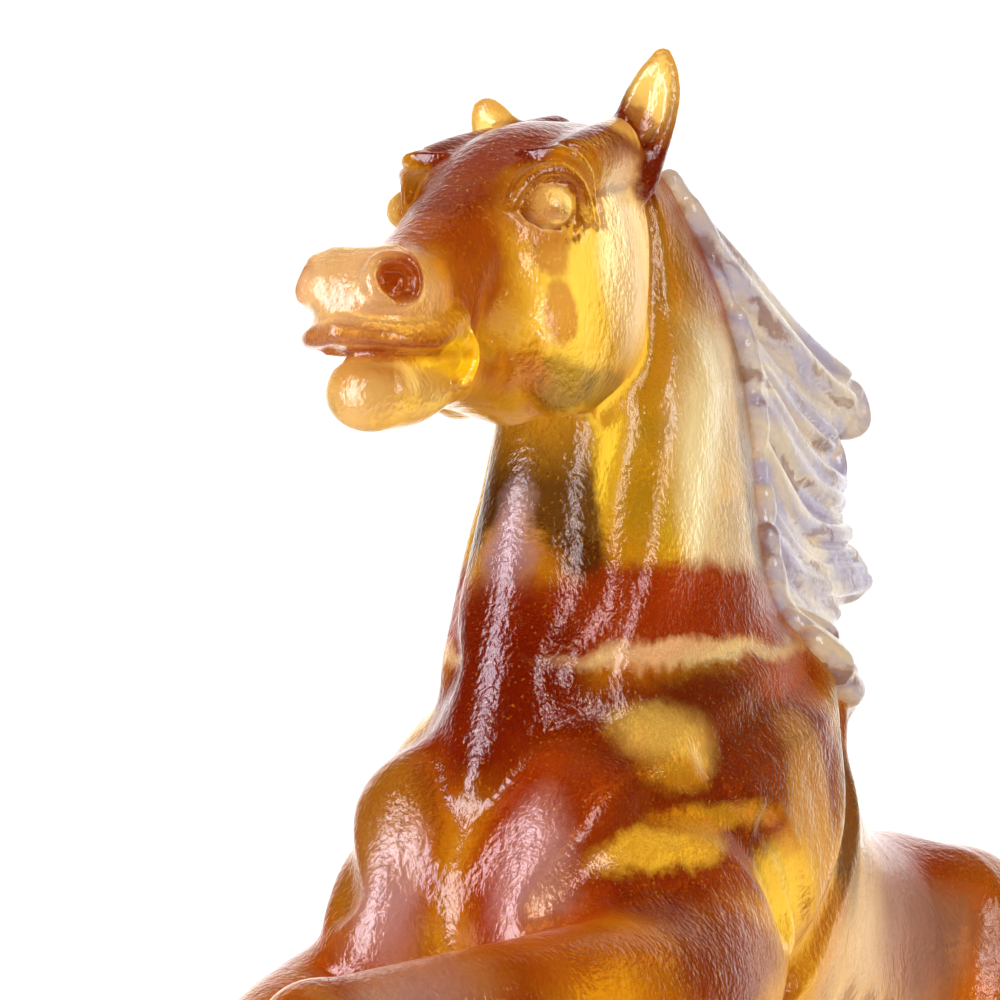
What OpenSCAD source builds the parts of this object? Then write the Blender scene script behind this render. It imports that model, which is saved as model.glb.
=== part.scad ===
// Rearing horse in cast amber glass, with a clear glass mane and tail, on an oval rock base of clear glass.
// Forward is -X, the horse's left side is -Y and up is +Z.
// The origin is on the table, under the middle of the whole figurine.

/* [Base] */
// Length of the oval base
base_l = 250; // [230:5:300]
// Width of the oval base
base_w = 100; // [80:2:140]
// Height of the base's top, where the hooves stand, above the table
base_h = 24; // [18:1:40]
// Height of the lowest of the base's three ledges
ledge_h = 6; // [4:0.5:8]
// How far the middle of the base lies behind the origin
base_x = 12; // [8:1:16]

/* [Bumpers] */
// Diameter of each clear bumper under the base
bumper_d = 12; // [8:1:16]
// Height of each bumper
bumper_h = 2.5; // [1.5:0.5:4]
// Distance between the front and the rear bumpers
bumper_pitch_x = 160; // [120:5:180]
// Distance between the left and the right bumpers
bumper_pitch_y = 48; // [40:2:60]

/* [Horse] */
// Gap between the lips of the open mouth
mouth_gap = 4; // [3:0.5:5]
// Width of the horse's trunk and neck, as a part of its natural width
girth = 1; // [0.9:0.05:1.1]
// Sides of each round station along a thick limb
coarse_sides = 20; // [16:2:24]
// Sides of each round station along a thin limb
fine_sides = 12; // [12:2:16]

/* [Hidden] */

bond = 0.02;             // thickness of the glue line between two castings
ledge_l_step = 20;       // how much each ledge of the base is shorter than the one below
ledge_w_step = 10;       // how much each ledge of the base is narrower than the one below
ledge_shift = 7;         // how far the middle of each ledge lies behind that of the one below
ledge_top_h = (base_h - bumper_h - ledge_h) / 2;
front_x = base_x - bumper_pitch_x / 2;
rear_x = base_x + bumper_pitch_x / 2;
left_y = -bumper_pitch_y / 2;

amber = [0.78, 0.38, 0.08];
smoke = [0.86, 0.84, 0.82];
clear = [0.92, 0.9, 0.84];
bumper_clear = [0.95, 0.95, 0.95];

// Stations along each limb are [x, y, z, radius, half width across], with z above the base's top.
trunk = [[-76, 0, 176, 26, 20], [-52, 0, 176, 37, 25], [-20, 0, 170, 40, 25], [12, 0, 154, 33, 21],
    [44, 0, 146, 29, 20], [72, 0, 143, 29, 23], [98, 0, 139, 25, 20]];
withers = [[-34, 0, 212, 9, 11], [-16, 0, 204, 12, 12], [4, 0, 196, 10, 10], [24, 0, 184, 8, 8]];
neck = [[-52, 0, 181, 40, 21], [-45, 0, 208, 35, 19], [-41, 0, 230, 32, 16.5], [-42, 0, 250, 28.5, 14.5],
    [-49, 0, 268, 20, 12]];
windpipe = [[-67, 0, 244, 9, 7], [-76, 0, 221, 9, 7], [-84, 0, 198, 8, 6]];
skull = [[-62, 0, 274, 17, 11.5], [-80, 0, 272, 17, 13.5], [-95, 0, 267, 14, 12], [-107, 0, 263, 11.5, 9.5],
    [-120, 0, 261, 9, 8.5], [-130, 0, 261, 7.5, 8.5]];
brow = [[-54, -6, 287, 6, 5], [-72, -9.5, 285, 6, 4.5], [-95, -12.5, 276, 6.5, 4]];
upper_lip = [[-120, 0, 257, 3.5, 8.5], [-130, 0, 256, 3.5, 8.2], [-136, 0, 257, 3.5, 6]];
jowl = [[-72, -8, 263, 16, 6.5], [-84, -8, 258, 13, 6]];
jaw = [[-84, 0, 253, 9, 8], [-100, 0, 252, 6, 7], [-112, 0, 251, 5, 7], [-122, 0, 247.5, 4.3, 7],
    [-131, 0, 246, 4.5, 5.8]];
chin = [[-131, 0, 246, 4.5, 5.8], [-133, 0, 250, 2.8, 4.5]];
ear_left = [[-59, -9, 284, 6, 5], [-59, -11, 288, 6, 4], [-57, -13, 295, 5.5, 3], [-59, -14, 301, 1.5, 1.5]];
ear_right = [[-60, 9, 284, 6, 5], [-62, 10, 286, 6, 4], [-65, 12, 290, 5, 3], [-67, 12.5, 293, 3, 2]];
mouth = [[-140, 0, 252.5], [-128, 0, 252.6], [-119, 0, 253.6]];
shoulder = [[-6, -13, 200, 12, 8], [-30, -18, 190, 19, 9], [-60, -19, 179, 22, 9], [-82, -16, 174, 18, 9]];
upper_arm = [[-16, -18, 181, 12, 8], [-35, -20, 166, 14, 8]];
breast = [[-86, -11, 182, 13, 9], [-93, -11, 168, 14, 10.5]];
haunch = [[72, -14, 148, 22, 12], [78, -16, 128, 23, 12], [72, -18, 110, 18, 10]];
foreleg_left = [[-60, -21, 161, 19, 11], [-86, -25, 160.5, 13.5, 11], [-118, -23.5, 162, 11, 9.5],
    [-150, -16, 163, 8, 7.5], [-164, -12.5, 162, 9, 7.8], [-161, -12, 142, 5.5, 4.5], [-152, -12, 122, 5, 4.5],
    [-148, -12, 114, 6.5, 5.5], [-138, -12, 104, 5, 4.5], [-130.5, -12, 93, 9.5, 7.8]];
foreleg_right = [[-60, 21, 157, 19, 11], [-88, 24, 154, 14, 12], [-115, 22, 151, 11, 10],
    [-142, 18, 141, 8, 7.5], [-152, 17, 136, 9, 7.8], [-157, 16, 116, 5.5, 4.5], [-156, 16, 96, 5, 4.5],
    [-155, 16, 86, 6.5, 5.5], [-148, 16, 74, 5, 4.5], [-143, 16, 63, 9.5, 7.8]];
hind_leg = [[76, -16, 128, 22, 12], [62, -20, 116, 17, 11], [68, -21, 100, 13, 9.5], [84, -21, 81, 9, 7.5],
    [95, -21, 71, 8, 6.8], [91, -21, 52, 6, 5.2], [86, -21, 36, 5.5, 5], [82, -21, 26, 7, 6],
    [72, -21, 14, 6, 5.4], [66, -21, 5, 9, 7.5]];
tail = [[100, 0, 147, 9, 8], [124, 0, 153, 9, 8], [145, 0, 145, 12, 9], [158.5, 0, 122, 14, 10],
    [159, 0, 92, 13.5, 11], [148, 0, 60, 13, 10], [132, 0, 30, 12, 9], [119, 0, 2, 10, 9]];
mane_locks = [
    [[-46, 0, 284, 6, 5], [-30, 0, 275.5, 8, 7], [-6, 0, 264, 9, 6.5], [18, 0, 256, 9, 5.5],
        [38, 0, 251, 8, 4.5], [50, 0, 250, 4, 3]],
    [[-40, 0, 274, 9, 7], [-18, 0, 262, 12, 8], [6, 0, 249, 12, 7], [24, 0, 241, 11, 5.5], [33, 0, 237, 8, 4]],
    [[-34, 0, 260, 10, 8], [-14, 0, 247, 13, 9], [8, 0, 234, 13, 7], [28, 0, 225, 11, 5.5],
        [40, 0, 221, 8, 4.5], [50, 0, 219, 3.5, 3]],
    [[-32, 0, 244, 10, 8], [-12, 0, 232, 13, 9], [8, 0, 219, 12, 7], [22, 0, 213, 10, 5.5], [30, 0, 209, 8, 4]],
    [[-30, 0, 228, 10, 8], [-12, 0, 218, 12, 9], [6, 0, 207, 11, 7], [22, 0, 202, 8, 5.5],
        [34, 0, 199, 6, 4.5], [43, 0, 196.5, 3.5, 3]],
];

module station(s, sides) {
    translate([s[0], s[1], s[2]])
        scale([1, s[4] / s[3], 1])
            sphere(r = s[3], $fn = sides);
}

module limb(stations, sides) {
    for (i = [0 : len(stations) - 2])
        hull() {
            station(stations[i], sides);
            station(stations[i + 1], sides);
        }
}

module both_sides() {
    children();
    mirror([0, 1, 0]) children();
}

module mouth_cut() {
    for (i = [0 : len(mouth) - 2])
        hull()
            for (p = [mouth[i], mouth[i + 1]])
                translate(p)
                    rotate([90, 0, 0])
                        cylinder(d = mouth_gap, h = 26, center = true, $fn = 16);
}

module horse_body() {
    scale([1, girth, 1]) {
        limb(trunk, coarse_sides);
        limb(withers, fine_sides);
        limb(neck, coarse_sides);
        limb(windpipe, fine_sides);
        both_sides() {
            limb(shoulder, coarse_sides);
            limb(upper_arm, fine_sides);
            limb(breast, coarse_sides);
            limb(haunch, coarse_sides);
        }
    }
}

module horse_head() {
    difference() {
        union() {
            limb(skull, coarse_sides);
            limb(upper_lip, fine_sides);
            limb(jaw, fine_sides);
            limb(chin, fine_sides);
            both_sides() {
                limb(brow, fine_sides);
                limb(jowl, coarse_sides);
            }
            limb(ear_left, fine_sides);
            limb(ear_right, fine_sides);
        }
        mouth_cut();
    }
}

module horse_legs() {
    limb(foreleg_left, fine_sides);
    limb(foreleg_right, fine_sides);
    both_sides() limb(hind_leg, fine_sides);
}

// Everything below the base's top, which the hooves and the tail are ground flat against
module below_ground() {
    translate([-base_l, -base_w, -base_h])
        cube([2 * base_l, 2 * base_w, base_h + bond]);
}

module horse_shape() {
    difference() {
        union() {
            horse_body();
            horse_head();
            horse_legs();
        }
        below_ground();
    }
}

module horse_casting() {
    color(amber)
        translate([0, 0, base_h])
            horse_shape();
}

module mane_casting() {
    color(smoke)
        translate([0, 0, base_h])
            difference() {
                for (lock = mane_locks)
                    limb(lock, fine_sides);
                horse_shape();
            }
}

module tail_casting() {
    color(smoke)
        translate([0, 0, base_h])
            difference() {
                limb(tail, coarse_sides);
                below_ground();
                horse_shape();
            }
}

module ledge(level, h) {
    l = base_l - level * ledge_l_step;
    w = base_w - level * ledge_w_step;
    translate([base_x + level * ledge_shift, 0, 0])
        scale([l / w, 1, 1])
            cylinder(d = w, h = h, $fn = 48);
}

module base_casting() {
    color(clear)
        translate([0, 0, bumper_h]) {
            ledge(0, ledge_h);
            translate([0, 0, ledge_h]) ledge(1, ledge_top_h);
            translate([0, 0, ledge_h + ledge_top_h]) ledge(2, ledge_top_h);
        }
}

module bumper(x, y) {
    color(bumper_clear)
        translate([x, y, 0])
            cylinder(d = bumper_d, h = bumper_h, $fn = 48);
}

module bumper_front_left() { bumper(front_x, left_y); }
module bumper_front_right() { bumper(front_x, -left_y); }
module bumper_rear_left() { bumper(rear_x, left_y); }
module bumper_rear_right() { bumper(rear_x, -left_y); }

horse_casting();
mane_casting();
tail_casting();
base_casting();
bumper_front_left();
bumper_front_right();
bumper_rear_left();
bumper_rear_right();
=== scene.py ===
import bpy
import bmesh
import math
import numpy as np
import openvdb
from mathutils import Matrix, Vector


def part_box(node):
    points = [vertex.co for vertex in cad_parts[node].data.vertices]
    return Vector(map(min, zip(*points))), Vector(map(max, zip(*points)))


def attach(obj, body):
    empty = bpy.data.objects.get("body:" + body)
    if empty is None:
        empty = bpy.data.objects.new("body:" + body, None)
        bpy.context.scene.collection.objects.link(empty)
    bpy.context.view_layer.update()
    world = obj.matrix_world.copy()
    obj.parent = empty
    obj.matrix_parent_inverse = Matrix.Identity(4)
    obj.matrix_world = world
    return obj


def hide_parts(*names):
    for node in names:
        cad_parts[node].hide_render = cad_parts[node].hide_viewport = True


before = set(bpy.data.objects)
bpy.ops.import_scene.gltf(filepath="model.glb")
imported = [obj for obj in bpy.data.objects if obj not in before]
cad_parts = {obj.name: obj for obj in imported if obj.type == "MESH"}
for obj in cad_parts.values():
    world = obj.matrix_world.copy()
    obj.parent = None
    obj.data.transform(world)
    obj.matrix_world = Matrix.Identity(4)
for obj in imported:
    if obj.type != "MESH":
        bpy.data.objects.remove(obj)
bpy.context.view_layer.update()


# ---- Horse -----------------------------------------------------------------------------------------------
# The horse is one lost-wax casting of amber glass with rust-red clouds: an open-mouthed head, an arched
# neck, a heavy chest and four legs. It is sculpted here as the wax was, by laying tapered rolls of clay
# together with soft joints and pressing hollows into them, and it stands with its hind hooves on the base.

mm = 0.001
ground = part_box("base_casting")[1].z


def curve(stations, steps):
    """Stations [x, y, z, ...] refined into a smooth curve that passes through every one of them."""
    p = np.array(stations, float)
    p = np.vstack([2 * p[0] - p[1], p, 2 * p[-1] - p[-2]])
    t = np.arange(steps)[:, None] / steps
    spans = []
    for a, b, c, d in zip(p[:-3], p[1:-2], p[2:-1], p[3:]):
        bend = (2 * a - 5 * b + 4 * c - d) * t ** 2 + (3 * b - a - 3 * c + d) * t ** 3
        spans.append(0.5 * (2 * b + (c - a) * t + bend))
    return np.vstack(spans + [p[-2:-1]])


class Clay:
    """A block of modelling clay, held as the distance to its surface on a grid, in millimetres."""

    far = 9.0     # the distance held wherever the surface isn't near
    search = 50   # how far a line is followed to meet the clay
    stride = 0.4  # the steps in which it is followed

    def __init__(self, low, high, voxel):
        self.voxel = voxel
        self.low = np.floor(np.array(low, float) / voxel) * voxel
        self.shape = [math.ceil((h - l) / voxel) + 1 for l, h in zip(self.low, high)]
        self.field = np.full(self.shape, self.far, np.float32)
        self.turn = 0
        self.axes = [(l + voxel * np.arange(n)).astype(np.float32) for l, n in zip(self.low, self.shape)]

    def window(self, low, high):
        """The part of the grid between two corners, as one slice along each axis."""
        first = np.floor((low - self.low) / self.voxel).astype(int)
        last = np.ceil((high - self.low) / self.voxel).astype(int) + 1
        return tuple(slice(max(0, a), max(0, min(b, n))) for a, b, n in zip(first, last, self.shape))

    def roll(self, stations, margin, steps):
        """Window and distance of a roll through stations [x, y, z, radius, half width across]."""
        s = curve(stations, steps) if len(stations) > 1 else np.array(stations * 2, float)
        s[-1, 2] += 0.01
        s[:, 1] += self.turn * np.minimum(0, s[:, 0] - turn_x)
        reach = s[:, 3:5].max() + margin
        win = self.window(s[:, :3].min(0) - reach, s[:, :3].max(0) + reach)
        distance = np.full([w.stop - w.start for w in win], self.far, np.float32)
        for a, b in zip(s[:-1], s[1:]):
            reach = max(a[3:5].max(), b[3:5].max()) + margin
            part = self.window(np.minimum(a[:3], b[:3]) - reach, np.maximum(a[:3], b[:3]) + reach)
            part = tuple(slice(max(p.start, w.start), min(p.stop, w.stop)) for p, w in zip(part, win))
            x = self.axes[0][part[0]][:, None, None] - np.float32(a[0])
            y = self.axes[1][part[1]][None, :, None] - np.float32(a[1])
            z = self.axes[2][part[2]][None, None, :] - np.float32(a[2])
            along = (b - a)[:3].astype(np.float32)
            span = max(float(np.sqrt(along @ along)), 1e-6)
            t = (x * along[0] + y * along[1] + z * along[2]) / span ** 2
            lean = float(np.clip((b[3] - a[3]) / span, -0.9, 0.9))
            if abs(lean) > 0.001:
                squeeze = (a[3] + b[3]) / (a[4] + b[4])
                off = np.sqrt((x - t * along[0]) ** 2 + (z - t * along[2]) ** 2
                              + ((y - t * along[1]) * squeeze) ** 2)
                t = t + off * (lean / math.sqrt(1 - lean ** 2) / span)
            t = np.clip(t, 0, 1)
            radius = a[3] + t * (b[3] - a[3])
            width = a[4] + t * (b[4] - a[4])
            flat = (x - t * along[0]) ** 2 + (z - t * along[2]) ** 2
            side = (y - t * along[1]) ** 2
            level = np.sqrt(flat / radius ** 2 + side / width ** 2)
            slope = np.sqrt(flat / radius ** 4 + side / width ** 4) + 1e-6
            inner = tuple(slice(p.start - w.start, p.stop - w.start) for p, w in zip(part, win))
            distance[inner] = np.minimum(distance[inner], level * (level - 1) / slope)
        return win, distance

    def add(self, stations, blend, steps=8):
        """Lays a roll on, with a soft joint blend millimetres wide."""
        win, d = self.roll(stations, 2 * blend + 2, steps)
        f = self.field[win]
        h = np.clip(0.5 + 0.5 * (f - d) / blend, 0, 1)
        self.field[win] = f + (d - f) * h - blend * h * (1 - h)

    def cut(self, stations, blend, steps=4):
        """Presses a roll in, which leaves its hollow with a rounded lip."""
        win, d = self.roll(stations, 2 * blend + 2, steps)
        f = self.field[win]
        h = np.clip(0.5 + 0.5 * (f + d) / blend, 0, 1)
        self.field[win] = -d + (f + d) * h + blend * h * (1 - h)

    def grind(self, point, normal, reach):
        """Grinds flat what lies beyond a plane, within reach of its point."""
        point, normal = np.array(point, float), np.array(normal, float)
        normal = normal / np.sqrt(normal @ normal)
        win = self.window(point - reach, point + reach)
        x, y, z = (self.axes[i][win[i]] - np.float32(point[i]) for i in range(3))
        height = x[:, None, None] * normal[0] + y[None, :, None] * normal[1]
        height = height + z[None, None, :] * normal[2]
        self.field[win] = np.maximum(self.field[win], height)

    def polish(self, passes):
        """Rubs the whole surface smooth, which takes out the marks of the separate rolls."""
        for turn in range(3 * passes):
            f = self.field
            self.field = (np.roll(f, 1, turn % 3) + 2 * f + np.roll(f, -1, turn % 3)) / 4

    def pair(self, stroke, stations, blend, steps=8):
        """The same stroke on the left side and, mirrored, on the right."""
        stroke(stations, blend, steps)
        stroke([[x, -y, z, r, w] for x, y, z, r, w in stations], blend, steps)

    def level(self, places):
        """The distance to the clay's surface at places [x, y, z], negative inside it."""
        spots = (places - self.low) / self.voxel
        corner = np.clip(np.floor(spots).astype(int), 0, np.array(self.shape) - 2)
        part = np.clip(spots - corner, 0, 1)
        total = 0
        for i, j, k in np.ndindex(2, 2, 2):
            share = np.prod(np.where([i, j, k], part, 1 - part), axis=1)
            total = total + share * self.field[corner[:, 0] + i, corner[:, 1] + j, corner[:, 2] + k]
        return total

    def touch(self, start, way):
        """Where a line from start, along way, first meets the clay, or else comes closest to it."""
        line = np.array(start) + np.arange(0, self.search, self.stride)[:, None] * np.array(way)
        level = self.level(line)
        first = int(np.argmax(level < 0))
        if first == 0:
            return line[int(np.argmin(level))]
        share = level[first - 1] / (level[first - 1] - level[first])
        return line[first - 1] + share * (line[first] - line[first - 1])

    def hug(self, stroke, starts, way, radius, sink, blend, steps=4):
        """A stroke that follows the clay's surface, seen from starts along way, sunk that far under it."""
        way = np.array(way, float)
        line = [[*(self.touch(start, way) + sink * way), radius, radius] for start in starts]
        turn, self.turn = self.turn, 0
        stroke(line, blend, steps)
        self.turn = turn

    def sides(self, stroke, points, radius, sink, blend):
        """A stroke along points [x, z] on both sides of the clay."""
        for hand in (-1, 1):
            starts = [[x, aside * hand, z] for x, z in points]
            self.hug(stroke, starts, (0, -hand, 0), radius, sink, blend)

    def ridge(self, points, radius, height, blend):
        """A raised line along points [x, z], on both sides."""
        self.sides(self.add, points, radius, radius - height, blend)

    def crease(self, points, radius, depth, blend):
        """A pressed line along points [x, z], on both sides."""
        self.sides(self.cut, points, radius, depth - radius, blend)

    def mesh(self, name, triangles):
        """The clay's surface as a piece with about that many triangles, lifted onto the base."""
        grid = openvdb.FloatGrid(self.far)
        grid.copyFromArray(self.field)
        points, quads = grid.convertToQuads(0.0)
        points = (points * self.voxel + self.low) * mm
        points[:, 2] += ground
        mesh = bpy.data.meshes.new(name)
        mesh.from_pydata(points.tolist(), [], quads.tolist())
        piece = bpy.data.objects.new(name, mesh)
        bpy.context.scene.collection.objects.link(piece)
        thinning = piece.modifiers.new("thinning", "DECIMATE")
        thinning.ratio = min(1, triangles / (2 * len(quads)))
        thinned = piece.evaluated_get(bpy.context.evaluated_depsgraph_get())
        piece.data = bpy.data.meshes.new_from_object(thinned)
        piece.modifiers.clear()
        piece.data.name = name
        piece.data.shade_smooth()
        bpy.data.meshes.remove(mesh)
        return piece


voxel = 0.6
turn_x = -97  # the head turns a little to the left from here forwards
aside = 45    # how far out a line starts that looks for the clay's side

trunk = [[-76, 0, 176, 26, 20], [-52, 0, 176, 37, 25], [-20, 0, 170, 40, 25], [12, 0, 154, 33, 20.5],
         [44, 0, 146, 29, 19.5], [72, 0, 143, 29, 22.5], [98, 0, 139, 25, 19.5]]
withers = [[-34, 0, 214, 10, 13], [-16, 0, 206, 13, 14], [4, 0, 197, 11, 11], [24, 0, 184, 8, 8]]
neck = [[-52, 0, 181, 40, 21], [-45, 0, 208, 35, 19], [-41, 0, 230, 32, 16.5], [-42, 0, 250, 28.5, 14.5],
        [-49, 0, 268, 20, 12]]
windpipe = [[-67, 0, 244, 9, 8.5], [-76, 0, 221, 9, 9], [-84, 0, 198, 8, 8]]
shoulder = [[-6, -13, 200, 12, 8], [-30, -18, 190, 19, 9], [-60, -19, 179, 22, 9], [-82, -16, 174, 18, 9]]
upper_arm = [[-16, -18, 181, 12, 8], [-35, -20, 166, 14, 8]]
breast = [[-86, -12, 183, 13, 10.5], [-93, -12, 168, 14, 12]]
haunch = [[72, -14, 148, 22, 12], [78, -16, 128, 23, 12], [72, -18, 110, 18, 10]]


def sculpt_body(clay):
    clay.add(trunk, 6)
    clay.add(withers, 14)
    clay.add(neck, 8)
    clay.add(windpipe, 6)
    clay.pair(clay.add, shoulder, 6)
    clay.pair(clay.add, upper_arm, 6)
    clay.pair(clay.add, breast, 4)
    clay.pair(clay.add, haunch, 7)
    # the edge where the shoulder and breast stand proud of the neck
    shoulder_edge = [[-62, -22, 211, 1.8, 2.5], [-75, -20, 209.5, 2, 3], [-85, -16, 206.5, 2.2, 3],
                     [-92, -9.5, 199, 2.2, 3], [-97, -4, 190, 2, 2.4], [-101, -1, 183, 1.6, 1.6]]
    clay.pair(clay.cut, shoulder_edge, 2)
    breast_crease = [[-98, 0, 188, 2.4, 1.6], [-105, 0, 178, 2.6, 1.5], [-108.5, 0, 168, 2.6, 1.5],
                     [-108, 0, 156, 2.6, 1.5]]
    clay.cut(breast_crease, 2.5)
    # the long muscle from behind the jowl to the chest, and the hollow before it
    clay.ridge([(-50, 250), (-56, 236), (-64, 222), (-73, 211)], 9, 0.9, 7)
    clay.crease([(-64, 246), (-70, 232), (-77, 218), (-84, 208)], 2.6, 1.0, 5)


def sculpt_muscles(clay):
    # hollows above the upper arm and behind the shoulder, and the arm's own muscle edge
    clay.crease([(-104, 175), (-94, 183), (-80, 188), (-66, 186), (-55, 179), (-48, 169)], 3.2, 1.6, 4)
    clay.crease([(-2, 204), (-10, 192), (-16, 177), (-27, 167), (-40, 158), (-51, 149)], 3, 2, 4)
    clay.crease([(-52, 183), (-43, 176), (-38, 165), (-40, 154)], 2.2, 1, 3)
    clay.crease([(-66, 195), (-52, 199), (-36, 203), (-20, 206)], 3, 0.9, 5)
    # ribs, flank and the haunch's edge
    for rib in range(4):
        x = -4 + 11 * rib
        clay.crease([(x - 3, 150 - 3 * rib), (x, 142 - 3 * rib), (x - 3, 134 - 2 * rib)], 3, 0.5, 5)
    clay.crease([(58, 160), (52, 146), (50, 131), (54, 119)], 3.5, 1.5, 5)
    clay.crease([(84, 150), (88, 134), (84, 116), (79, 104)], 3, 0.8, 5)


def sculpt_legs(clay):
    foreleg_left = [[-60, -21, 161, 19, 11], [-86, -25, 160.5, 13.5, 11], [-118, -23.5, 162, 11, 9.5],
                    [-150, -16, 163, 8, 7.5], [-164, -12.5, 162, 8, 7.4]]
    cannon_left = [[-164, -12.5, 162, 7.8, 7.2], [-161, -12, 142, 5.5, 4.5], [-152, -12, 122, 5, 4.5],
                   [-148, -12, 114, 6.3, 5.4], [-138, -12, 104, 5, 4.5]]
    hoof_left = [[-138, -12, 104, 5, 4.5], [-130.5, -12, 93, 9, 7.4]]
    foreleg_right = [[-60, 21, 157, 19, 11], [-88, 24, 154, 14, 12], [-115, 22, 151, 11, 10],
                     [-142, 18, 141, 8, 7.5], [-152, 17, 136, 8.5, 7.6]]
    cannon_right = [[-152, 17, 136, 8, 7.2], [-157, 16, 116, 5.5, 4.5], [-156, 16, 96, 5, 4.5],
                    [-155, 16, 86, 6.3, 5.4], [-148, 16, 74, 5, 4.5]]
    hoof_right = [[-148, 16, 74, 5, 4.5], [-143, 16, 63, 9, 7.4]]
    thigh = [[76, -16, 128, 22, 12], [62, -20, 116, 17, 11], [68, -21, 100, 13, 9.5], [84, -21, 81, 9, 7.5],
             [94, -21, 70, 7.5, 6.5]]
    hock = [[99, -21, 74, 4, 4], [96, -21, 68, 7, 6.2], [91, -21, 52, 5.8, 5], [86, -21, 36, 5.5, 5],
            [82, -21, 26, 7, 6], [72, -21, 14, 6, 5.3]]
    hind_hoof = [[72, -21, 14, 6, 5.3], [66, -21, 5, 9, 7.5]]
    for limb, blend in ((foreleg_left, 5), (cannon_left, 3), (hoof_left, 2),
                        (foreleg_right, 5), (cannon_right, 3), (hoof_right, 2)):
        clay.add(limb, blend)
    for limb, blend in ((thigh, 5), (hock, 3), (hind_hoof, 2)):
        clay.pair(clay.add, limb, blend)
    clay.grind((-128, -12, 88.5), (0.55, 0, -1), 16)
    clay.grind((-141, 16, 58), (0.4, 0, -1), 16)
    clay.grind((66, 0, 0), (0, 0, -1), 40)


def oval(x, z, half_length, half_height, first, last, points=9):
    """Points [x, z] along part of an oval, from the angle first to last, in degrees."""
    angles = np.radians(np.linspace(first, last, points))
    return [(x + half_length * math.cos(a), z + half_height * math.sin(a)) for a in angles]


class Spot:
    """A place on the head that faces outwards and turn degrees forwards, with its own back and up axes."""

    def __init__(self, clay, centre, turn):
        self.clay = clay
        self.centre = centre
        self.turn = math.radians(turn)

    def stroke(self, stroke, points, radius, sink, blend):
        """A stroke along points [back, up] from the centre, on both sides of the head."""
        for hand in (-1, 1):
            out = np.array([-math.sin(self.turn), hand * math.cos(self.turn), 0])
            back = np.array([math.cos(self.turn), hand * math.sin(self.turn), 0])
            middle = np.array([self.centre[0], hand * self.centre[1], self.centre[2]])
            starts = [middle + b * back + (0, 0, u) + 15 * out for b, u in points]
            self.clay.hug(stroke, starts, -out, radius, sink, blend)

    def ridge(self, points, radius, height, blend):
        self.stroke(self.clay.add, points, radius, radius - height, blend)

    def crease(self, points, radius, depth, blend):
        self.stroke(self.clay.cut, points, radius, depth - radius, blend)


def sculpt_eyes(clay):
    clay.pair(clay.add, [[-92, -7.4, 275.6, 6.6, 6.6], [-88, -7.6, 275.6, 6.6, 6.6]], 3)
    eye = Spot(clay, (-94.4, 12.7, 275.7), 35)
    socket = [(-6.6, -0.6), (-4, -2.8), (0, -3.9), (4, -3.2), (6, 0), (4.4, 3.6), (0, 4.4), (-4, 2.4),
              (-6.6, -0.6)]
    upper_lid = [(-6.6, 0.2), (-5, 2.4), (-2.4, 4.5), (1.6, 5.4), (5.2, 3.8), (7, 0.8), (7.8, -1.6)]
    lid_fold = [(-7.6, 1), (-5, 4.6), (-1.6, 6.7), (3, 6.9), (7, 4.6), (9.2, 0.6), (9.6, -1.6)]
    eye.crease(socket, 1.2, 1.2, 1.2)
    eye.ridge([(-0.7, 0), (0.7, 0)], 3, 1, 0.3)
    eye.ridge(oval(0.4, 0, 4.3, 4.1, 130, -60, 11), 0.55, 0.8, 0.3)
    eye.ridge(upper_lid, 1.3, 1.7, 0.5)
    eye.ridge([(-7, -1), (-4, -3.4), (0, -4.4), (3.6, -4.2), (6.4, -3.4)], 0.7, 0.6, 0.6)
    eye.crease(lid_fold, 0.7, 0.9, 0.5)
    eye.ridge([(-1.4, 8), (3.4, 8.1), (8, 5.6), (10.8, 1.2), (11.2, -2)], 0.8, 0.8, 0.6)
    eye.crease([(4, 9.6), (9.6, 6.8), (12.4, 2), (12.8, -2)], 0.6, 0.6, 0.5)


def sculpt_muzzle(clay):
    clay.add([[-124, 0, 261, 6.8, 8.2], [-130.5, 0, 261, 6.6, 8.2]], 3)
    clay.add([[-130, 0, 258.5, 6, 7.5], [-133.5, 0, 257.8, 4.8, 6.4]], 2.5)
    clay.pair(clay.add, [[-131, -4.8, 265, 3, 3], [-134.8, -4.6, 262, 3, 3.2]], 2.5)
    nostril = Spot(clay, (-134.2, 8, 263), 42)
    nostril.ridge(oval(0, 0, 3.5, 3.3, -70, 275, 13), 1.1, 0.8, 0.9)
    nostril.crease([(-0.5, 0.2), (0.5, -0.2)], 2.5, 3.4, 0.6)
    nostril.ridge([(-0.2, -1.4), (0.9, 0)], 1, 1, 0.5)
    lip = [[-117, -7.8, 258.5, 2, 2], [-125, -8.2, 256, 2.1, 2.1], [-132, -7, 255.3, 2, 2],
           [-137, -4.2, 255.4, 1.8, 2.4], [-138.6, 0, 256, 1.7, 2.5]]
    clay.pair(clay.add, lip, 1.6)
    above_lip = [[-118, -9.6, 262, 1.2, 1.2], [-126, -10.2, 259.2, 1.3, 1.3], [-133.5, -9, 258.4, 1.2, 1.2],
                 [-138, -6, 258.8, 0.8, 1]]
    clay.pair(clay.cut, above_lip, 2)


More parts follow.
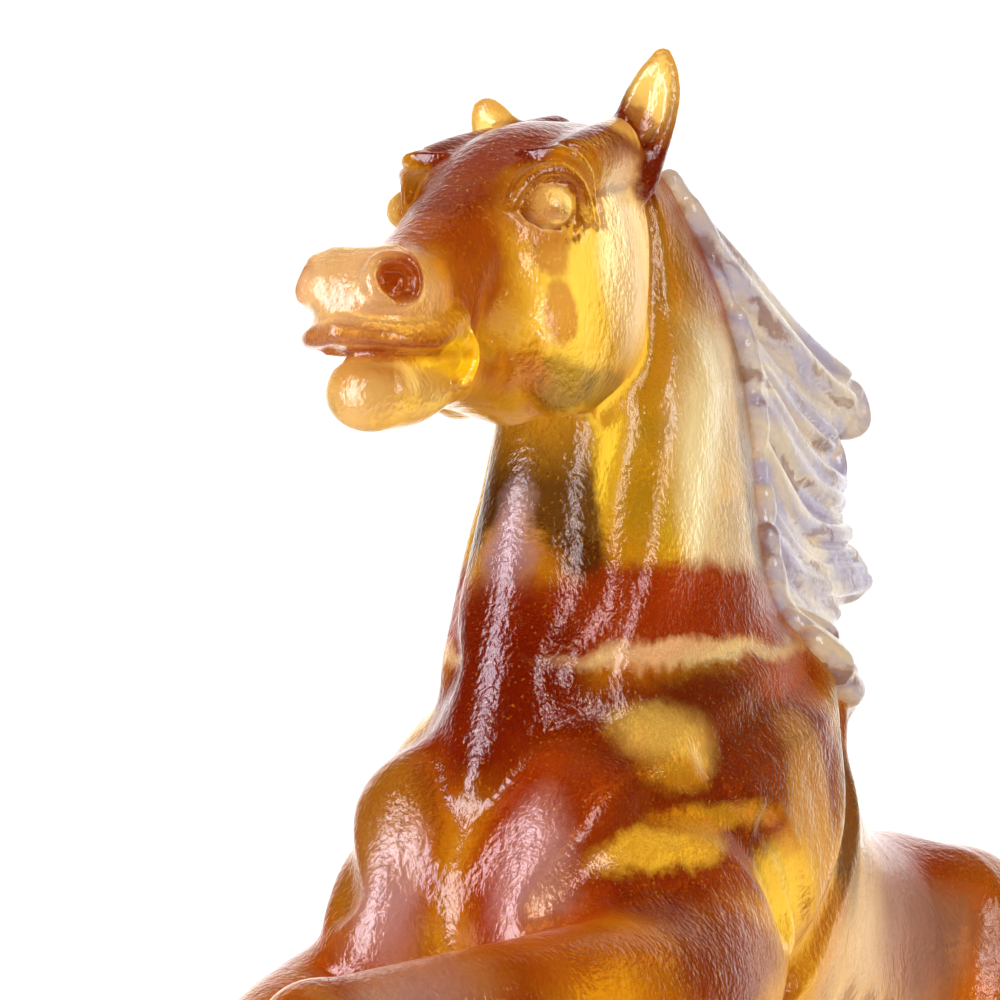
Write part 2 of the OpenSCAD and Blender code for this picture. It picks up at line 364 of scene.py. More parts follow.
def sculpt_mouth(clay):
    clay.add([[-84, 0, 253, 9, 8], [-100, 0, 252, 6, 7], [-112, 0, 251, 5, 7.2]], 3)
    clay.add([[-112, 0, 251, 4.5, 7.2], [-121, 0, 248.2, 5, 7.4], [-129.4, 0, 247.6, 5.2, 6.4]], 2)
    clay.add([[-129.5, 0, 248, 3.4, 5], [-130, 0, 252.5, 1.7, 4.6]], 2.5)
    # the gap between the lips, the scooped bed of the tongue, the corner folds and the teeth
    clay.cut([[-144, 0, 253, 1, 14], [-133, 0, 252.8, 1.1, 14], [-126, 0, 252.6, 1.5, 14],
              [-119, 0, 253, 1.7, 14]], 1)
    clay.add([[-129, 0, 251.6, 2.6, 4.4], [-122, 0, 252, 3, 4.8], [-114, 0, 253, 4, 6]], 1.5)
    corner = [[-120.5, -8, 256.6, 1.3, 1.3], [-116.6, -9, 255.8, 1.3, 1.3], [-115.4, -9.2, 252.8, 1.3, 1.3],
              [-117, -8.6, 249.6, 1.3, 1.3]]
    clay.pair(clay.add, corner, 1.2)
    gum = [[-133, -5, 255, 1.2, 1.6], [-126, -6.2, 254.6, 1.3, 1.6], [-120, -6.4, 255.4, 1.3, 1.5]]
    clay.pair(clay.add, gum, 0.8)
    for step in range(6):
        tooth_x = -132.4 + 2.3 * step
        clay.pair(clay.add, [[tooth_x, -5 - 0.25 * step, 253.9, 1, 0.9]], 0.4)


def sculpt_head(clay):
    skull = [[-62, 0, 274, 17, 11.5], [-80, 0, 272, 17, 13], [-95, 0, 267, 14, 11], [-107, 0, 263, 11.5, 9],
             [-119, 0, 261, 8.5, 7.5], [-129, 0, 260.5, 7, 7.5]]
    brow = [[-54, -7, 287.5, 5.5, 4.5], [-70, -9.2, 285, 5, 4.2], [-81, -10.6, 283.2, 4.4, 3.6],
            [-89, -11.2, 281.8, 3.5, 3]]
    jowl = [[-74, -8, 263, 16, 6.8], [-84, -8, 258, 13, 6.2]]
    clay.turn = 0.055
    clay.add(skull, 4)
    clay.pair(clay.add, brow, 2.5)
    clay.pair(clay.add, jowl, 3)
    # the groove round the back of the jowl, and the hollow before the cheek
    clay.crease([(-57.5, 282), (-56, 273), (-56.5, 263), (-60, 253), (-69, 246.5)], 1.8, 1.6, 2)
    clay.crease([(-101, 268), (-105, 262), (-103, 253)], 3, 0.8, 4)
    sculpt_muzzle(clay)
    sculpt_mouth(clay)
    sculpt_eyes(clay)
    clay.turn = 0


def sculpt_ears(clay):
    left = [[-60, -9, 283, 5, 4.5], [-59, -10.5, 289, 3.2, 5], [-58, -11.5, 294, 2.8, 4.8],
            [-57.5, -12.5, 298, 2.2, 3.4], [-57.5, -13.3, 301, 1.2, 1.5]]
    right = [[-62, 9, 282, 5, 4.5], [-64, 10.5, 287, 3.4, 4.6], [-66, 11.5, 291, 2.6, 3.6],
             [-67, 12, 293, 1.8, 2.4]]
    clay.add(left, 1.5)
    clay.add(right, 1.5)
    clay.cut([[-62.5, -10.5, 287, 1.4, 2.4], [-61.5, -12, 292, 2, 3.2], [-60.5, -13, 297, 1.4, 1.8]], 1)
    clay.cut([[-67, 11, 286, 1.4, 2.2], [-69, 12, 289, 1.6, 2.2]], 1)


clay = Clay((-178, -40, -3), (135, 40, 306), voxel)
sculpt_body(clay)
sculpt_legs(clay)
clay.polish(8)
sculpt_muscles(clay)
sculpt_head(clay)
sculpt_ears(clay)
horse = clay.mesh("horse", 190000)


class Signal:
    """A socket of a material's nodes. Sums on signals add the nodes that work them out."""

    def __init__(self, socket):
        self.socket = socket

    def node(self, kind, settings, inputs, output=0):
        """Adds a node with its settings and inputs, each a signal or a value, and gives one output."""
        made = self.socket.id_data.nodes.new(kind)
        for name, value in settings.items():
            if name == "stops":
                for stop, colour in zip(made.color_ramp.elements, value):
                    stop.color = (*colour, 1)
            else:
                setattr(made, name, value)
        for key, value in inputs.items():
            if isinstance(value, Signal):
                self.socket.id_data.links.new(value.socket, made.inputs[key])
            else:
                made.inputs[key].default_value = value
        return Signal(made.outputs[output])

    def sum(self, operation, one, two=0):
        return self.node("ShaderNodeMath", {"operation": operation}, {0: one, 1: two})

    def __add__(self, other):
        return self.sum("ADD", self, other)

    def __mul__(self, other):
        return self.sum("MULTIPLY", self, other)

    def __sub__(self, other):
        return self.sum("SUBTRACT", self, other)

    def __rsub__(self, other):
        return self.sum("SUBTRACT", other, self)

    __radd__ = __add__
    __rmul__ = __mul__

    def vector(self, operation, other=(0, 0, 0), output=0):
        return self.node("ShaderNodeVectorMath", {"operation": operation}, {0: self, 1: other}, output)

    def noise(self, scale, detail=2, output="Fac"):
        inputs = {"Vector": self, "Scale": scale, "Detail": detail}
        return self.node("ShaderNodeTexNoise", {}, inputs, output)

    def ramp(self, first, last):
        """The colour that runs from the first to the last as this goes from 0 to 1."""
        return self.node("ShaderNodeValToRGB", {"stops": (first, last)}, {0: self})

    def bump(self, distance, strength):
        """A surface normal that this height bends, by up to distance in metres."""
        inputs = {"Height": self, "Distance": distance, "Strength": strength}
        return self.node("ShaderNodeBump", {}, inputs)

    def warp(self, scale, reach):
        """A place moved by up to about reach in every direction, by noise of that scale."""
        push = self.noise(scale, 3, "Color").vector("SUBTRACT", (0.5, 0.5, 0.5))
        return self.vector("ADD", push.vector("MULTIPLY", (2 * reach, 2 * reach, 2 * reach)))

    def step(self, low, high):
        """0 below low, 1 above high, and smooth between them. With low the larger, it turns round."""
        return self.node("ShaderNodeMapRange", {"interpolation_type": "SMOOTHSTEP"},
                         {0: self, 1: low, 2: high})

    def blob(self, centre, radii, edge):
        """1 inside an oval cloud and 0 outside it, for a place."""
        near = self.node("ShaderNodeMapping", {"vector_type": "TEXTURE"},
                         {"Vector": self, "Location": centre, "Scale": radii})
        return near.vector("LENGTH", output="Value").step(1 + edge, 1 - edge)

    def tint(self, colour, share):
        """This colour with that share of another."""
        if not isinstance(colour, Signal):
            colour = (*colour, 1)
        return self.node("ShaderNodeMix", {"data_type": "RGBA"}, {0: share, 6: self, 7: colour}, 2)


def new_glass(name, settings):
    """A material, its shader, and the place on the piece in millimetres, with its height above the base."""
    material = bpy.data.materials.new(name)
    material.use_nodes = True
    shader = material.node_tree.nodes["Principled BSDF"]
    for key, value in settings.items():
        shader.inputs[key].default_value = value
    where = Signal(shader.outputs[0]).node("ShaderNodeTexCoord", {}, {}, "Object")
    where = where.vector("SUBTRACT", (0, 0, ground)).vector("SCALE")
    where.socket.node.inputs["Scale"].default_value = 1 / mm
    return material, shader, where


def feed(shader, key, signal):
    signal.socket.id_data.links.new(signal.socket, shader.inputs[key])


rust = (0.14, 0.010, 0.001)
russet = (0.29, 0.038, 0.004)
amber = (0.42, 0.12, 0.008)
gold = (0.58, 0.30, 0.014)
yellow = (0.86, 0.62, 0.06)
cream = (1.0, 0.88, 0.52)
pearl = (0.72, 0.56, 0.52)
olive = (0.07, 0.030, 0.004)
smoke = (0.14, 0.095, 0.045)

# Clouds of colour in the amber glass, with painted highlights, a painted glow and painted shade among them:
# centre (x, distance from the middle, z), radii, edge, colour, strength
clouds_and_painted_light = [
    # trunk, haunches, hind legs and lower forelegs
    [(60, 14, 150), (60, 30, 34), 0.5, amber, 0.8],
    [(10, 20, 152), (30, 12, 26), 0.5, cream, 0.6],
    [(34, 20, 160), (24, 12, 12), 0.4, (0.42, 0.27, 0.21), 0.9],
    [(70, 0, 172), (46, 18, 12), 0.4, russet, 0.9],
    [(78, 28, 130), (22, 12, 26), 0.4, rust, 0.9],
    [(60, 28, 108), (14, 12, 18), 0.5, gold, 0.9],
    [(0, 0, 128), (60, 20, 10), 0.5, russet, 0.8],
    [(92, 22, 60), (14, 12, 16), 0.5, yellow, 0.8],
    [(72, 22, 10), (16, 14, 18), 0.4, russet, 0.7],
    [(-134, 20, 100), (20, 14, 18), 0.4, rust, 0.8],
    [(-158, 18, 130), (10, 10, 24), 0.5, yellow, 0.8],
    [(-146, 20, 72), (10, 10, 16), 0.5, russet, 0.9],
    # neck
    [(-60, 0, 235), (40, 40, 34), 0.3, gold, 1],
    [(-65, 12, 238), (9, 9, 28), 0.5, (0.66, 0.42, 0.012), 0.9],
    [(-42, 17, 238), (17, 12, 26), 0.25, cream, 0.95],
    [(-26, 14, 236), (7, 9, 30), 0.3, smoke, 0.8],
    [(-77, 6, 238), (5.5, 9, 27), 0.3, olive, 1],
    # a painted highlight: a lavender stripe down the front of the neck that stands for the reflection of the
    # key soft box
    [(-86, 0, 230), (6, 5, 30), 0.4, (0.42, 0.33, 0.40), 0.95],
    [(-60, 17, 216), (44, 26, 7), 0.25, russet, 1],
    [(-90, 0, 206), (18, 14, 17), 0.3, rust, 1],
    # chest and shoulder
    [(-62, 24, 190), (46, 26, 18), 0.16, rust, 0.96],
    [(-98, 14, 176), (14, 12, 28), 0.25, russet, 0.95],
    [(-88, 24, 172), (10, 8, 12), 0.4, rust, 0.9],
    # a painted highlight: a lavender patch on the breast, on both sides, for the reflection of the key soft
    # box
    [(-104, 13, 182), (7, 6, 15), 0.5, (0.62, 0.46, 0.52), 0.6],
    [(-30, 20, 206), (18, 12, 5), 0.4, russet, 0.9],
    # painted highlights and glow: the thin cream, yellow and gold bands on the shoulder stand for light along
    # its muscle edges, and the yellow patch for light glowing through it
    [(-58, 18, 209.8), (34, 12, 1.8), 0.5, cream, 0.85],
    [(-72, 21, 198), (9, 9, 5), 0.5, (0.95, 0.70, 0.16), 0.95],
    [(-76, 26, 193), (7, 9, 3.5), 0.5, gold, 0.9],
    [(-82, 24, 181), (14, 9, 2.6), 0.5, yellow, 0.9],
    [(-66, 26, 185), (16, 8, 2.2), 0.5, gold, 0.9],
    [(-36, 27, 182), (9, 8, 18), 0.35, (0.45, 0.23, 0.04), 0.95],
    [(-46, 27, 172), (10, 8, 8), 0.4, yellow, 0.8],
    [(-12, 24, 184), (8, 8, 18), 0.35, smoke, 0.9],
    # forelegs
    [(-80, 30, 165), (26, 14, 8), 0.35, rust, 0.9],
    [(-116, 22, 170), (26, 12, 5), 0.5, amber, 0.8],
    [(-150, 16, 166), (16, 12, 6), 0.5, pearl, 0.5],
    # head
    [(-92, 0, 266), (50, 24, 26), 0.3, gold, 1],
    [(-78, 14, 262), (17, 9, 16), 0.35, (0.62, 0.38, 0.03), 0.95],
    [(-68, 14, 270), (11, 9, 15), 0.3, cream, 1],
    [(-110, 9, 265), (9, 7, 11), 0.35, (0.34, 0.075, 0.005), 0.95],
    [(-116, 0, 274), (20, 12, 7), 0.35, (0.30, 0.05, 0.003), 0.95],
    [(-86, 2, 292), (36, 14, 13), 0.16, rust, 1],
    [(-104, 0, 279), (18, 9, 7), 0.4, rust, 0.95],
    [(-58, 11, 284), (7, 7, 6), 0.25, rust, 1],
    [(-93, 12, 269), (5, 4, 3.6), 0.25, (0.30, 0.10, 0.01), 0.95],
    [(-91, 13, 260), (3.6, 4, 5.5), 0.25, (0.30, 0.10, 0.01), 0.95],
    [(-88, 12, 249), (9, 5, 4.2), 0.3, olive, 0.7],
    [(-76, 13, 249), (8, 5, 3.6), 0.3, olive, 0.6],
    [(-99, 8, 250), (8, 5, 3), 0.3, amber, 0.8],
    [(-134, 0, 262), (12, 12, 9), 0.4, (0.86, 0.66, 0.36), 0.9],
    [(-133, 8, 264), (4, 4, 3.6), 0.4, (0.34, 0.06, 0.004), 0.95],
    [(-118, 7, 253), (7, 6, 4), 0.4, (1.0, 0.72, 0.03), 1],
    [(-130, 0, 255), (12, 9, 1.6), 0.5, russet, 0.8],
    [(-128, 0, 246), (13, 11, 6), 0.35, (0.80, 0.62, 0.24), 0.95],
    # ears
    [(-59, 13, 298), (8, 6, 9), 0.3, (0.70, 0.46, 0.13), 1],
    [(-67, 12, 293), (6, 5, 5), 0.3, (0.74, 0.50, 0.14), 1],
]

# The same for what is crisp in the face: painted shade round the eyes, in the nostrils and in the gap of the
# mouth, and the eyes themselves
fine_clouds_and_painted_shade = [
    [(-94.5, 12.5, 276), (8.5, 6, 6.6), 0.25, (0.26, 0.07, 0.005), 0.75],
    [(-94.4, 13, 275.7), (3.4, 4, 3.2), 0.3, (0.85, 0.60, 0.20), 0.9],
    [(-134.5, 9.5, 263), (3.2, 5, 3), 0.3, (0.26, 0.04, 0.003), 0.95],
    [(-128, 7, 253.6), (12, 9, 1.3), 0.5, (0.28, 0.045, 0.003), 0.85],
]

# The same on the right side alone, with a painted highlight on the chest
right_clouds_and_highlight = [
    [(-98, 15, 184), (10, 9, 17), 0.4, (0.34, 0.17, 0.015), 0.9],
    # a painted highlight: a lavender patch on the right of the chest, for the reflection of a soft box
    [(-105, 9, 178), (6, 5, 12), 0.5, (0.62, 0.46, 0.52), 0.6],
]


def cloud(paint, where, centre, radii, edge, colour, strength):
    """Paint with one more cloud of colour in it."""
    return paint.tint(colour, where.blob(centre, radii, edge) * strength)


def amber_glass():
    """Cast amber glass with soft-edged clouds of colour, among them painted highlights and painted shade, a
    painted glow where the paint itself gives light, and the mould's fine ripple on its surface.
    """
    material, shader, where = new_glass("cast_amber_glass", {
        "Roughness": 0.06, "IOR": 1.5, "Transmission Weight": 0.82, "Emission Strength": 0.2})
    soak = where.node("ShaderNodeVolumeAbsorption", {}, {"Color": (1, 0.72, 0.15, 1), "Density": 8})
    feed(material.node_tree.nodes["Material Output"], "Volume", soak)
    split = where.node("ShaderNodeSeparateXYZ", {}, {0: where})
    parts = split.socket.node.outputs
    far = where.sum("ABSOLUTE", Signal(parts["Y"]))
    mirrored = where.node("ShaderNodeCombineXYZ", {}, {0: Signal(parts["X"]), 1: far, 2: Signal(parts["Z"])})
    drift = mirrored.warp(0.05, 4).warp(0.5, 1.3)
    streaky = drift.vector("MULTIPLY", (0.05, 0.05, 0.02)).noise(1, 4)
    paint = streaky.step(0.35, 0.65).ramp(russet, gold)
    for centre, radii, edge, colour, strength in clouds_and_painted_light:
        paint = cloud(paint, drift, centre, radii, edge, colour, strength)
    for centre, radii, edge, colour, strength in fine_clouds_and_painted_shade:
        paint = cloud(paint, mirrored.warp(0.5, 0.5), centre, radii, edge, colour, strength)
    for centre, radii, edge, colour, strength in right_clouds_and_highlight:
        paint = cloud(paint, where.warp(0.08, 3), centre, radii, edge, colour, strength)
    speck = where.noise(1.6, 2).step(0.62, 0.75) * 0.25
    paint = paint.tint(yellow, speck)
    feed(shader, "Base Color", paint)
    # the paint also gives light: a painted glow that stands for light glowing through the glass
    feed(shader, "Emission Color", paint)
    ripple = where.noise(1.1, 3)
    swell = where.noise(0.22, 2)
    feed(shader, "Normal", (ripple * 0.6 + swell).bump(0.0006, 0.6))
    return material


horse.data.materials.append(amber_glass())
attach(horse, "root")
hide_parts("horse_casting")


# ---- Mane ------------------------------------------------------------------------------------------------
# The mane is its own casting of clear to smoky glass, joined along the crest of the neck. It streams back in
# five heavy locks, each grooved into finer ones, and their ends curl over.

locks = [
    [[-46, 0, 284, 6, 5], [-30, 0, 275.5, 8, 7], [-6, 0, 264, 9, 6.5], [18, 0, 256, 9, 5.5],
     [38, 0, 251, 8, 4.5], [50, 0, 250, 4, 3]],
    [[-40, 0, 274, 9, 7], [-18, 0, 262, 12, 8], [6, 0, 249, 12, 7], [24, 0, 241, 11, 5.5],
     [33, 0, 237, 8, 4]],
    [[-34, 0, 260, 10, 8], [-14, 0, 247, 13, 9], [8, 0, 234, 13, 7], [28, 0, 225, 11, 5.5],
     [40, 0, 221, 8, 4.5], [50, 0, 219, 3.5, 3]],
    [[-32, 0, 244, 10, 8], [-12, 0, 232, 13, 9], [8, 0, 219, 12, 7], [22, 0, 213, 10, 5.5],
     [30, 0, 209, 8, 4]],
    [[-30, 0, 228, 10, 8], [-12, 0, 218, 12, 9], [6, 0, 207, 11, 7], [22, 0, 202, 8, 5.5],
     [34, 0, 199, 6, 4.5], [43, 0, 196.5, 3.5, 3]],
]
hairline = curve([[-42, 283], [-32, 271], [-23, 256], [-17, 241], [-18, 227], [-16, 216], [-13, 207],
                  [-7, 199]], 8)
fringe = curve([[52, 253], [49, 247], [41, 243], [38, 236], [38, 230], [42, 224], [50, 219], [42, 214],
                [36, 208], [34, 202], [41, 196]], 8)
strands = 19
thicknesses = [1.3, 1.8, 2.4, 3]
curls = [(48, 249), (37, 240), (46, 220), (33, 208), (38, 197)]
mane_low, mane_high = (-66, -24, 180), (68, 24, 306)


def along(line, share):
    """The place that share of the way along a line of points."""
    return line[int(round(min(max(share, 0), 1) * (len(line) - 1)))]


def lay_strand(share, thickness, guide, hand):
    """A strand that leaves the hairline, hugs the locks and sweeps out to its place on the fringe."""
    start = along(hairline, 0.8 * share)
    bend = along(hairline, 0.8 * share + 0.2) + (8, 0)
    end = along(fringe, share)
    stations = []
    for t in np.linspace(0, 1, 12):
        x, z = (1 - t) ** 2 * start + 2 * t * (1 - t) * bend + t * t * end
        z = z + 1.1 * math.sin(5 * t + 4 * share + hand) * t
        column = guide.field[int((x - guide.low[0]) / voxel), :, int((z - guide.low[2]) / voxel)]
        if column.min() > -1:
            break
        radius = thickness * (0.6 + 0.4 * math.sin(math.pi * min(1, t + 0.2)))
        place = guide.touch((x, aside * hand, z), (0, -hand, 0))
        stations.append([x, place[1] + 0.3 * hand * radius, z, radius, radius])
    if len(stations) > 3:
        mane_clay.add(stations, 0.5)


mane_clay = Clay(mane_low, mane_high, voxel)
for lock in locks:
    mane_clay.add([[x, y, z, r - 1, w - 0.8] for x, y, z, r, w in lock], 5)
start = np.round((mane_clay.low - clay.low) / voxel).astype(int)
shared = tuple(slice(0, min(n, m - a)) for a, n, m in zip(start, mane_clay.shape, clay.shape))
body_part = clay.field[tuple(slice(a, a + n.stop) for a, n in zip(start, shared))]
guide = Clay(mane_low, mane_high, voxel)
guide.field = mane_clay.field.copy()
guide.field[shared] = np.minimum(guide.field[shared], body_part)
chance = np.random.default_rng(7)
for hand in (-1, 1):
    band = [guide.touch((x, aside * hand, z), (0, -hand, 0)) for x, z in hairline[4:-6:4] + (2.5, 0)]
    mane_clay.add([[*place, 2.6, 2] for place in band], 1.5)
    for i in range(strands):
        share = (i + chance.uniform(-0.2, 0.2)) / (strands - 1)
        lay_strand(share, chance.choice(thicknesses), guide, hand)
for x, z in curls:
    curl = [[x + 3.4 * math.cos(a), 0.4 * math.sin(2 * a), z + 3.4 * math.sin(a), 2.1, 3.4]
            for a in np.radians(np.linspace(100, -140, 7))]
    mane_clay.add(curl, 1)
mane_clay.field[shared] = np.maximum(mane_clay.field[shared], -body_part - 0.4)
mane = mane_clay.mesh("mane", 90000)


def smoky_glass(name, slope):
    """Clear glass with milky, straw and rust wisps that run with the hair, which falls by that slope, and a
    faint painted glow of the same colours.
    """
    material, shader, where = new_glass(name, {
        "Roughness": 0.1, "IOR": 1.5, "Transmission Weight": 0.35, "Emission Strength": 0.12})
    drift = where.warp(0.03, 8).warp(0.4, 1)
    hair = drift.node("ShaderNodeMapping", {"vector_type": "TEXTURE"},
                      {"Vector": drift, "Rotation": (0, slope, 0), "Scale": (36, 10, 4.5)})
    wisps = hair.noise(1, 4)
    paint = wisps.step(0.35, 0.68).ramp((0.60, 0.55, 0.66), (0.97, 0.82, 0.54))
    veins = hair.vector("ADD", (7, 0, 0)).noise(1.4, 3).step(0.52, 0.66) * 0.7
    paint = paint.tint((0.30, 0.12, 0.06), veins)
    feed(shader, "Base Color", paint)
    # the wisps also give light: a painted glow that stands for light glowing through the glass
    feed(shader, "Emission Color", paint)
    feed(shader, "Normal", where.noise(0.9, 3).bump(0.0005, 0.4))
    return material


mane.data.materials.append(smoky_glass("cast_smoky_glass", 0.35))
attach(mane, "root")
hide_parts("mane_casting")


# ---- Tail ------------------------------------------------------------------------------------------------
# The tail is cast of the same smoky glass as the mane, joined at the dock. It arches clear of the haunches
# and comes down to the base, where its ground foot is bonded and helps to carry the horse.

tail_line = [[100, 0, 147, 8, 7], [124, 0, 152, 8, 7.5], [144, 0, 144, 11, 8.5], [157, 0, 122, 13, 9.5],
             [157.5, 0, 92, 12.5, 10], [147, 0, 60, 12, 9.5], [131, 0, 30, 11, 8.5], [119, 0, 2, 9, 8]]
tail_strands = 17


def tail_strand(turn, chance):
    """Stations of a fine strand that winds a little round the tail."""
    line = curve(tail_line, 4)
    heading = np.gradient(line[:, :3], axis=0)
    stations = []
    for i, (x, y, z, r, w) in enumerate(line):
        t = i / (len(line) - 1)
        angle = turn + 0.9 * t + 0.25 * math.sin(7 * t + 2 * turn)
        across = np.array([heading[i][2], 0, -heading[i][0]])
        across = across / np.sqrt(across @ across)
        place = np.array([x, y, z]) + math.cos(angle) * (r - 1.8) * across
        place[1] += math.sin(angle) * (w - 1.5)
        size = chance.uniform(1.9, 2.5) * (0.75 + 0.25 * math.sin(math.pi * t))
        stations.append([*place, size, size])
    return stations


tail_clay = Clay((90, -16, -2), (176, 16, 166), voxel)
tail_clay.add([[x, y, z, r - 1.4, w - 1.2] for x, y, z, r, w in tail_line], 3)
for i in range(tail_strands):
    tail_clay.add(tail_strand(2 * math.pi * i / tail_strands, chance), 0.8, 1)
tail_clay.grind((119, 0, 0), (0, 0, -1), 20)
tail = tail_clay.mesh("tail", 70000)
tail.data.materials.append(smoky_glass("cast_smoky_glass_tail", 1.5))
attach(tail, "root")
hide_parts("tail_casting")


# ---- Base ------------------------------------------------------------------------------------------------
# The base is an oval rock of clear glass, cast as three rolling ledges that step back towards the tail, and
# ground flat underneath. The hind hooves and the tail are bonded to its smooth top.

base_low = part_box("base_casting")[0]
# half length, half width and middle of each ledge, in millimetres
ledges = [(125, 50, 12), (115, 45, 19), (105, 40, 26)]
# rings up the side: ledge, share of its size, height above the underside, and how far the waves press it in
rings = [(0, 0.965, 0, 0), (0, 0.99, 0.8, 0.6), (0, 1, 2.4, 1), (0, 0.998, 4.2, 1), (0, 0.985, 5.4, 0.6),
         (0, 0.965, 6, 0.3), (1, 1.005, 6.2, 0.6), (1, 1, 7.2, 1), (1, 1, 10, 1), (1, 0.996, 12, 1),
         (1, 0.98, 13.4, 0.6), (1, 0.96, 13.75, 0.3), (2, 1.005, 14, 0.6), (2, 1, 15, 1), (2, 1, 18, 1),
         (2, 0.997, 20, 0.7), (2, 0.988, 21.2, 0.2), (2, 0.975, 21.5, 0), (2, 0.7, 21.5, 0),
         (2, 0.35, 21.5, 0)]


def wave(angle, height):
    """How deep the rolling waves of the rock are at that angle and height, from 0 to 1."""
    roll = math.sin(9 * angle + 0.5 * height) + 0.6 * math.sin(17 * angle - 0.4 * height + 1)
    return (roll + 1.6) / 3.2


def place_ring(ring, verts):
    """Moves the vertices of a ring to their places round the base."""
    ledge, share, height, press = ring
    half_length, half_width, middle = ledges[ledge]
    for v in verts:
        angle = math.atan2(v.co.y, v.co.x)
        size = share - 0.022 * press * wave(angle, height)
        v.co = (half_length * size * math.cos(angle), half_width * size * math.sin(angle), height)
        v.co.x += middle


def make_base():
    shape = bmesh.new()
    loop = bmesh.ops.create_circle(shape, segments=160, radius=1, cap_ends=True)["verts"]
    edges = list(shape.edges)
    laid = [loop]
    for ring in rings[1:]:
        grown = bmesh.ops.extrude_edge_only(shape, edges=edges)["geom"]
        laid.append([v for v in grown if isinstance(v, bmesh.types.BMVert)])
        edges = [e for e in grown if isinstance(e, bmesh.types.BMEdge)]
    bmesh.ops.contextual_create(shape, geom=edges)
    for ring, verts in zip(rings, laid):
        place_ring(ring, verts)
    bmesh.ops.scale(shape, vec=(mm, mm, mm), verts=shape.verts)
    bmesh.ops.translate(shape, vec=(0, 0, base_low.z), verts=shape.verts)
    bmesh.ops.recalc_face_normals(shape, faces=shape.faces)
    mesh = bpy.data.meshes.new("base")
    shape.to_mesh(mesh)
    shape.free()
    mesh.shade_smooth()
    piece = bpy.data.objects.new("base", mesh)
    bpy.context.scene.collection.objects.link(piece)
    return piece


base = make_base()


def clear_glass():
    """Clear glass with a faint straw tint."""
    material, shader, where = new_glass("cast_clear_glass", {
        "Roughness": 0.05, "IOR": 1.5, "Transmission Weight": 0.9,
        "Coat Weight": 0.3, "Coat Roughness": 0.03})
    cloudy = where.noise(0.06, 4).step(0.4, 0.65)
    feed(shader, "Base Color", cloudy.ramp((0.93, 0.9, 0.8), (0.86, 0.76, 0.55)))
    feed(shader, "Normal", where.noise(0.5, 3).bump(0.0006, 0.4))
    return material


base.data.materials.append(clear_glass())
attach(base, "root")
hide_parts("base_casting")


# ---- Bumpers ---------------------------------------------------------------------------------------------
# Four round bumpers of clear polyurethane, moulded with a domed edge and stuck under the base, keep the glass
# off the table.


def make_bumper(node):
    low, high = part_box(node)
    middle = (low + high) / 2
    radius, height = (high.x - low.x) / 2, high.z - low.z
    shape = bmesh.new()
    disc = bmesh.ops.create_circle(shape, segments=48, radius=radius, cap_ends=True)["verts"]
    bmesh.ops.translate(shape, vec=(0, 0, height), verts=disc)
    steps = 8
    edges = list(shape.edges)
    for i in range(1, steps + 1):
        angle = math.radians(90 * i / steps)
        grown = bmesh.ops.extrude_edge_only(shape, edges=edges)["geom"]
        edges = [e for e in grown if isinstance(e, bmesh.types.BMEdge)]
        for v in grown:
            if isinstance(v, bmesh.types.BMVert):
                size = radius * (0.7 + 0.3 * math.cos(angle)) / math.hypot(v.co.x, v.co.y)
                v.co = (v.co.x * size, v.co.y * size, height * (1 - math.sin(angle)))
    bmesh.ops.contextual_create(shape, geom=edges)
    bmesh.ops.translate(shape, vec=(middle.x, middle.y, low.z), verts=shape.verts)
    bmesh.ops.recalc_face_normals(shape, faces=shape.faces)
    name = node.replace("bumper", "clear_bumper")
    mesh = bpy.data.meshes.new(name)
    shape.to_mesh(mesh)
    shape.free()
    mesh.shade_smooth()
    piece = bpy.data.objects.new(name, mesh)
    bpy.context.scene.collection.objects.link(piece)
    return piece


def bumper_clear():
    """Clear polyurethane with a satin skin and fine dust on it."""
    material, shader, where = new_glass("moulded_polyurethane", {
        "Roughness": 0.3, "IOR": 1.45, "Transmission Weight": 0.7})
    dust = where.noise(0.8, 3).step(0.5, 0.7)
    feed(shader, "Base Color", dust.ramp((0.86, 0.87, 0.88), (0.7, 0.7, 0.7)))
    feed(shader, "Normal", dust.bump(0.0002, 0.3))
    return material


polyurethane = bumper_clear()
for node in ("bumper_front_left", "bumper_front_right", "bumper_rear_left", "bumper_rear_right"):
    bumper = make_bumper(node)
    bumper.data.materials.append(polyurethane)
    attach(bumper, "root")
    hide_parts(node)


# ---- Floor, light and camera -----------------------------------------------------------------------------
# The figurine stands on a pale table before a bright white wall in a dim room, so that light comes through
# the glass from behind. Soft boxes on both sides of the camera and overhead give it its highlights.

look = Vector((math.cos(math.radians(27)), math.sin(math.radians(27)), 0))
right = Vector((look.y, -look.x, 0))
target = Vector((-0.0654, 0.0106, 0.257))

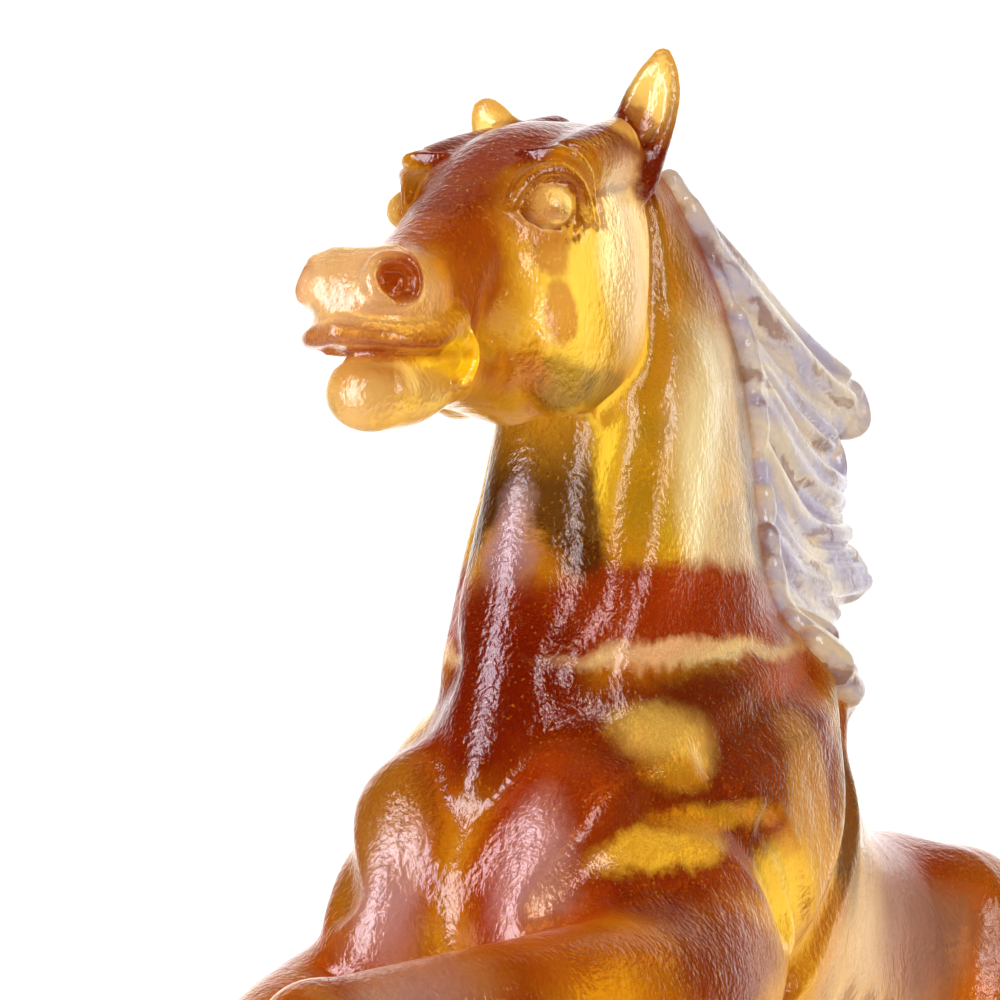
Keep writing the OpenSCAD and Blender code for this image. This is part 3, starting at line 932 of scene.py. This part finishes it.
world = bpy.data.worlds.new("studio")
bpy.context.scene.world = world
world.use_nodes = True
backdrop = world.node_tree.nodes["Background"]
dim, bright, wall = 0.03, 1.25, 1.05
wall_starts, wall_full = 0.62, 0.96
way = Signal(backdrop.outputs[0]).node("ShaderNodeTexCoord", {}, {}, "Generated")
ahead = way.vector("DOT_PRODUCT", look, "Value")
room = ahead.node("ShaderNodeMapRange", {}, {0: ahead, 1: wall_starts, 2: wall_full, 3: dim, 4: bright})
seen = way.node("ShaderNodeLightPath", {}, {}, "Is Camera Ray")
feed(backdrop, "Strength", room + (wall - room) * seen)
backdrop.inputs["Color"].default_value = (1, 1, 1, 1)


def soft_box(name, place, aim, width, height, power, colour):
    lamp = bpy.data.lights.new(name, "AREA")
    lamp.shape = "RECTANGLE"
    lamp.size = width
    lamp.size_y = height
    lamp.energy = power
    lamp.color = colour
    box = bpy.data.objects.new(name, lamp)
    bpy.context.scene.collection.objects.link(box)
    box.location = place
    box.rotation_euler = (aim - box.location).to_track_quat("-Z", "Y").to_euler()


up = Vector((0, 0, 1))
key_place = target - 0.36 * look - 0.5 * right + 0.12 * up
fill_place = target - 0.35 * look + 0.6 * right + 0.2 * up
top_place = target + Vector((0.15, 0.1, 0.6))
soft_box("key", key_place, target, 0.32, 0.8, 8, (0.86, 0.86, 1))
soft_box("fill", fill_place, target, 0.2, 0.5, 2.5, (0.95, 0.93, 1))
soft_box("top", top_place, target, 0.4, 0.4, 0.15, (1, 1, 1))

table = bmesh.new()
bmesh.ops.create_circle(table, segments=96, radius=0.5, cap_ends=True)
table_mesh = bpy.data.meshes.new("table_top")
table.to_mesh(table_mesh)
table.free()
table_top = bpy.data.objects.new("table_top", table_mesh)
bpy.context.scene.collection.objects.link(table_top)
pale = bpy.data.materials.new("pale_table")
pale.use_nodes = True
pale.node_tree.nodes["Principled BSDF"].inputs["Base Color"].default_value = (0.85, 0.85, 0.84, 1)
pale.node_tree.nodes["Principled BSDF"].inputs["Roughness"].default_value = 0.7
table_mesh.materials.append(pale)

camera_data = bpy.data.cameras.new("camera")
camera = bpy.data.objects.new("camera", camera_data)
bpy.context.scene.collection.objects.link(camera)
bpy.context.scene.camera = camera
distance = 0.65
width_in_view = 1 / 6.5  # metres across, at the neck
camera.location = target - distance * look
camera.rotation_euler = look.to_track_quat("-Z", "Y").to_euler()
camera_data.sensor_width = 36
camera_data.lens = camera_data.sensor_width * distance / width_in_view
bpy.context.scene.view_settings.view_transform = "Standard"
bpy.context.scene.view_settings.look = "Medium High Contrast"
